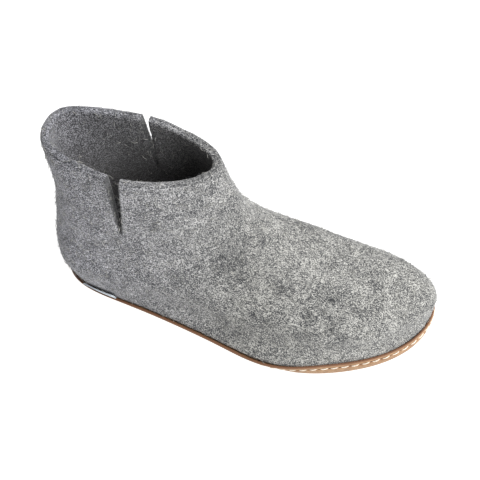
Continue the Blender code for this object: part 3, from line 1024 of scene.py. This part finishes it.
@dataclass
class WoolFuzz:
    """Loose wool fibres that lie on the felt and stand a little off its edge."""

    finish: FibreFinish
    length: float = 3.0
    thickness: float = 0.2
    tip_thickness: float = 0.08
    bow: float = 0.35
    sides: int = 3
    per_square_mm: float = 0.1
    least_lean: float = 66.0
    most_lean: float = 94.0
    least_size: float = 0.6
    most_size: float = 1.5
    seed: int = 7

    def fibre(self) -> bpy.types.Object:
        """Model one fibre, a thin three-sided cone that bows to one side."""
        bpy.ops.object.select_all(action="DESELECT")
        bpy.ops.mesh.primitive_cone_add(
            vertices=self.sides,
            radius1=self.thickness * MM / 2.0,
            radius2=self.tip_thickness * MM / 2.0,
            depth=self.length * MM,
            location=(0.0, 0.0, self.length * MM / 2.0),
        )
        bpy.ops.object.transform_apply(location=True)
        piece = bpy.context.object
        bpy.ops.object.mode_set(mode="EDIT")
        bpy.ops.mesh.select_all(action="SELECT")
        bpy.ops.mesh.bisect(plane_co=(0.0, 0.0, self.length * MM / 2.0), plane_no=(0.0, 0.0, 1.0))
        bpy.ops.mesh.select_all(action="DESELECT")
        bpy.ops.object.mode_set(mode="OBJECT")
        points = points_of(piece)
        middle = np.isclose(points[:, 2], self.length / 2.0, atol=self.thickness)
        points[middle, 1] += self.bow
        move_points(piece, points)
        return piece

    def build(self, felt: bpy.types.Object) -> bpy.types.Object:
        """Scatter fibres over a felt piece.

        Args:
            felt: The piece, whose nap layer says where fibres stand.

        Returns:
            All the fibres as one piece.
        """
        fibre = self.fibre()
        piece = bpy.data.objects.new("wool_fuzz", felt.data.copy())
        bpy.context.scene.collection.objects.link(piece)
        modifier = piece.modifiers.new("scatter", "NODES")
        modifier.node_group = self.scatter(fibre)
        apply_modifier(piece, modifier)
        bpy.data.objects.remove(fibre)
        piece.data.materials.clear()
        piece.data.materials.append(self.finish.material())
        bpy.ops.object.shade_smooth()
        put_on_boot(piece)
        return piece

    def scatter(self, fibre: bpy.types.Object) -> bpy.types.NodeTree:
        """Return the geometry nodes that set fibres on a face, each with its own lean and tone."""
        tree = bpy.data.node_groups.new("wool scatter", "GeometryNodeTree")
        for way in ("INPUT", "OUTPUT"):
            tree.interface.new_socket("Geometry", in_out=way, socket_type="NodeSocketGeometry")
        face = add_node(tree, "NodeGroupInput").outputs[0]
        nap = add_node(
            tree, "GeometryNodeInputNamedAttribute", values={"Name": "nap"}, data_type="FLOAT"
        ).outputs[0]
        values = {1: self.per_square_mm / MM**2}
        density = add_node(tree, "ShaderNodeMath", {0: nap}, values, operation="MULTIPLY").outputs[0]
        links = {"Mesh": face, "Density": density}
        spread = add_node(tree, "GeometryNodeDistributePointsOnFaces", links, {"Seed": self.seed})
        leans = add_node(tree, "FunctionNodeRandomValue", data_type="FLOAT_VECTOR")
        leans.inputs[0].default_value = (math.radians(self.least_lean), 0.0, 0.0)
        leans.inputs[1].default_value = (math.radians(self.most_lean), 0.0, math.tau)
        lean = add_node(tree, "FunctionNodeEulerToRotation", {0: leans.outputs[0]}).outputs[0]
        links = {0: spread.outputs["Rotation"], 1: lean}
        turned = add_node(tree, "FunctionNodeRotateRotation", links, rotation_space="LOCAL").outputs[0]
        size = add_node(tree, "FunctionNodeRandomValue", data_type="FLOAT")
        size.inputs[2].default_value = self.least_size
        size.inputs[3].default_value = self.most_size
        shape = add_node(tree, "GeometryNodeObjectInfo", values={"Object": fibre}).outputs["Geometry"]
        links = {
            "Points": spread.outputs["Points"],
            "Instance": shape,
            "Rotation": turned,
            "Scale": size.outputs[1],
        }
        fibres = add_node(tree, "GeometryNodeInstanceOnPoints", links).outputs[0]
        tone = add_node(tree, "FunctionNodeRandomValue", values={"Seed": self.seed}, data_type="FLOAT")
        toned = add_node(
            tree,
            "GeometryNodeStoreNamedAttribute",
            {"Geometry": fibres, "Value": tone.outputs[1]},
            {"Name": "tone"},
            data_type="FLOAT",
            domain="INSTANCE",
        ).outputs[0]
        real = add_node(tree, "GeometryNodeRealizeInstances", {0: toned}).outputs[0]
        add_node(tree, "NodeGroupOutput", {0: real})
        return tree


@dataclass(frozen=True)
class Hollow:
    """A place where the footbed is worn: its middle, how wide and how deep."""

    x: float
    y: float
    radius: float
    depth: float


@dataclass
class FeltInsole:
    """The felt footbed, worn hollow at the heel and the ball."""

    finish: FeltFinish
    edge_angle: float = 50.0
    edge_keep: float = 0.5
    levels: int = 2
    hollows: tuple[Hollow, ...] = (
        Hollow(-92.0, 4.0, 24.0, 1.2),
        Hollow(45.0, 2.0, 34.0, 0.9),
    )
    dimple_size: float = 9.0
    dimple_height: float = 0.6

    def build(self) -> bpy.types.Object:
        """Model the footbed from its solid and dress it."""
        piece = rounded_copy("insole", "felt_insole", self.edge_angle, self.edge_keep, self.levels)
        points = points_of(piece)
        facing_up = smoothstep(normals_of(piece)[:, 2])
        for hollow in self.hollows:
            gap = np.hypot(points[:, 0] - hollow.x, points[:, 1] - hollow.y)
            points[:, 2] -= hollow.depth * facing_up * np.exp(-((gap / hollow.radius) ** 2))
        move_points(piece, points)
        roughen(piece, "footbed dimples", self.dimple_size, self.dimple_height)
        piece.data.materials.append(self.finish.material())
        put_on_boot(piece, "insole")
        return piece


@dataclass
class LeatherSole:
    """The leather sole: a plate with its edge turned up as a rim, grooved for the thread."""

    finish: LeatherFinish
    seam: SeamLine
    edge_angle: float = 38.0
    edge_keep: float = 0.6
    levels: int = 2

    def build(self, pitch: float) -> bpy.types.Object:
        """Model the sole from its solid and dress it.

        Args:
            pitch: The distance between needle holes.

        Returns:
            The finished piece.
        """
        piece = rounded_copy("outsole", "leather_sole", self.edge_angle, self.edge_keep, self.levels)
        self.seam.paint_run(piece)
        piece.data.materials.append(self.finish.material(pitch))
        put_on_boot(piece, "outsole")
        return piece


@dataclass
class RimThread:
    """The row of stitches that sews the rim to the felt, lying in the rim's groove."""

    finish: ThreadFinish
    seam: SeamLine
    wanted_pitch: float = 6.9
    gap: float = 1.5
    thickness: float = 0.85
    bow: float = 0.55
    fullness_power: int = 4
    slant: float = 9.0
    route: EdgeLine = EdgeLine(2.2, 9.0, -0.3, 4.75)
    sides: int = 8
    rings: int = 10

    def pitch(self) -> float:
        """Return the distance between needle holes that goes a whole number of times round the seam."""
        _, whole = self.seam.lengths()
        return whole / round(whole / self.wanted_pitch)

    def stitch(self) -> bpy.types.Object:
        """Model one stitch along X, its ends drawn in to the needle holes."""
        length = self.pitch() - self.gap
        bpy.ops.object.select_all(action="DESELECT")
        bpy.ops.mesh.primitive_uv_sphere_add(segments=self.sides, ring_count=self.rings, radius=MM)
        piece = bpy.context.object
        points = points_of(piece)
        along = points[:, 2].copy()
        fullness = np.sqrt(np.clip(1.0 - along**self.fullness_power, 0.0, 1.0))
        round_off = np.hypot(points[:, 0], points[:, 1])
        unit = np.where(round_off > 0.0, round_off, 1.0)
        across = points[:, 0] / unit * fullness * self.thickness / 2.0
        upward = points[:, 1] / unit * fullness * self.thickness / 2.0
        points[:, 0] = along * length / 2.0
        points[:, 1] = across - self.bow * along**2
        points[:, 2] = upward
        move_points(piece, points)
        activate(piece)
        bpy.ops.object.mode_set(mode="EDIT")
        bpy.ops.mesh.select_all(action="SELECT")
        bpy.ops.mesh.normals_make_consistent(inside=False)
        bpy.ops.object.mode_set(mode="OBJECT")
        bpy.ops.object.shade_smooth()
        return piece

    def build(self) -> bpy.types.Object:
        """Set stitches round the rim and join them.

        Returns:
            All the stitches as one piece.
        """
        run, whole = self.seam.lengths()
        route = self.seam.ring(self.route)
        ahead = np.roll(route, -1, axis=0) - np.roll(route, 1, axis=0)
        first = self.stitch()
        pitch = self.pitch()
        copies = []
        for number in range(round(whole / pitch)):
            place = int(np.searchsorted(run, (number + 0.5) * pitch)) % len(route)
            tangent = Vector(ahead[place]).normalized()
            outward = Vector((-tangent.y, tangent.x, 0.0)).normalized()
            turn = Matrix((tangent, outward, tangent.cross(outward))).transposed().to_4x4()
            lean = Matrix.Rotation(math.radians(self.slant), 4, "Y")
            copy = bpy.data.objects.new("stitch", first.data.copy())
            copy.data.transform(Matrix.Translation(Vector(route[place]) * MM) @ turn @ lean)
            bpy.context.scene.collection.objects.link(copy)
            copies.append(copy)
        bpy.data.objects.remove(first)
        activate(copies[0])
        for copy in copies:
            copy.select_set(True)
        bpy.ops.object.join()
        piece = bpy.context.object
        piece.name = "rim_thread"
        piece.data.materials.append(self.finish.material())
        put_on_boot(piece)
        return piece


@dataclass
class SideTag:
    """The plain tag of woven tape at the outer side of the heel."""

    finish: TapeFinish
    seam: SeamLine
    edge_angle: float = 40.0
    edge_keep: float = 0.7
    levels: int = 2

    def build(self) -> bpy.types.Object:
        """Model the tag from its solid and dress it."""
        piece = rounded_copy("side_tag", "woven_tag", self.edge_angle, self.edge_keep, self.levels)
        self.seam.paint_run(piece)
        piece.data.materials.append(self.finish.material())
        put_on_boot(piece, "side_tag")
        return piece


@dataclass(frozen=True)
class SoftLight:
    """A square soft box that faces the boot: its place and width in metres, and its power in watts."""

    name: str
    place: tuple[float, float, float]
    width: float
    power: float


@dataclass
class Studio:
    """A glowing floor, soft boxes and a camera that looks from where the photograph was taken.

    Its places and sizes are in metres, and the camera's lens and sensor in millimetres.
    """

    camera_place: tuple[float, float, float] = (0.131389, -0.447514, 0.66263)
    azimuth: float = 16.51
    elevation: float = 51.73
    lens: float = 85.57
    sensor: float = 36.0
    floor_radius: float = 20.0
    floor_sides: int = 96
    floor_grey: str = "#8f8f8f"
    floor_glow: float = 1.0
    surround: float = 0.2
    aim: tuple[float, float, float] = (0.0, 0.0, 0.05)
    lights: tuple[SoftLight, ...] = (
        SoftLight("key", (1.2, -0.35, 1.4), 0.9, 46.0),
        SoftLight("fill", (1.2, -1.0, 0.9), 1.0, 5.0),
        SoftLight("back", (-0.1, 1.2, 1.4), 0.9, 12.0),
    )

    def build(self) -> None:
        """Make the floor, the surround, the lights and the camera."""
        scene = bpy.context.scene
        scene.view_settings.view_transform = "Standard"
        scene.view_settings.look = "None"
        self.floor()
        world = bpy.data.worlds.new("surround")
        world.use_nodes = True
        backdrop = world.node_tree.nodes["Background"]
        backdrop.inputs["Color"].default_value = linear(WHITE)
        backdrop.inputs["Strength"].default_value = self.surround
        scene.world = world
        for light in self.lights:
            self.soft_box(light)
        lens = bpy.data.cameras.new("camera")
        lens.lens = self.lens
        lens.sensor_width = self.sensor
        camera = bpy.data.objects.new("camera", lens)
        camera.location = self.camera_place
        camera.rotation_euler = (math.radians(90.0 - self.elevation), 0.0, math.radians(self.azimuth))
        scene.collection.objects.link(camera)
        scene.camera = camera

    def floor(self) -> None:
        """Lay a round floor that glows evenly white, so that no shadow darkens it."""
        bpy.ops.object.select_all(action="DESELECT")
        bpy.ops.mesh.primitive_circle_add(
            vertices=self.floor_sides, radius=self.floor_radius, fill_type="NGON"
        )
        floor = bpy.context.object
        floor.name = "floor"
        material, _, shader = new_material("light table")
        shader.inputs["Base Color"].default_value = linear(self.floor_grey)
        shader.inputs["Roughness"].default_value = 1.0
        shader.inputs["Specular IOR Level"].default_value = 0.0
        shader.inputs["Emission Color"].default_value = linear(WHITE)
        shader.inputs["Emission Strength"].default_value = self.floor_glow
        floor.data.materials.append(material)

    def soft_box(self, light: SoftLight) -> None:
        """Hang one soft box and turn it to the boot."""
        lamp = bpy.data.lights.new(light.name, "AREA")
        lamp.size = light.width
        lamp.energy = light.power
        box = bpy.data.objects.new(light.name, lamp)
        box.location = light.place
        box.rotation_euler = (Vector(self.aim) - Vector(light.place)).to_track_quat("-Z", "Y").to_euler()
        bpy.context.scene.collection.objects.link(box)


def main() -> None:
    """Build the boot's pieces and the studio round them."""
    logging.basicConfig(level=logging.INFO, format="%(name)s: %(message)s")
    seam = SeamLine()
    wool = FeltFinish("heather grey felt", "#36373a", "#cdccc6", "#36373d", "#c6c6cd")
    footbed = FeltFinish("dark grey felt", "#2c2d2f", "#a3a29e", "#2b2d31", "#9fa1a4")
    thread = RimThread(ThreadFinish(), seam)
    felt = FeltUpper(wool, seam).build()
    WoolFuzz(FibreFinish()).build(felt)
    FeltInsole(footbed).build()
    LeatherSole(LeatherFinish(), seam).build(thread.pitch())
    thread.build()
    SideTag(TapeFinish(), seam).build()
    Studio().build()


if __name__ == "__main__":
    main()
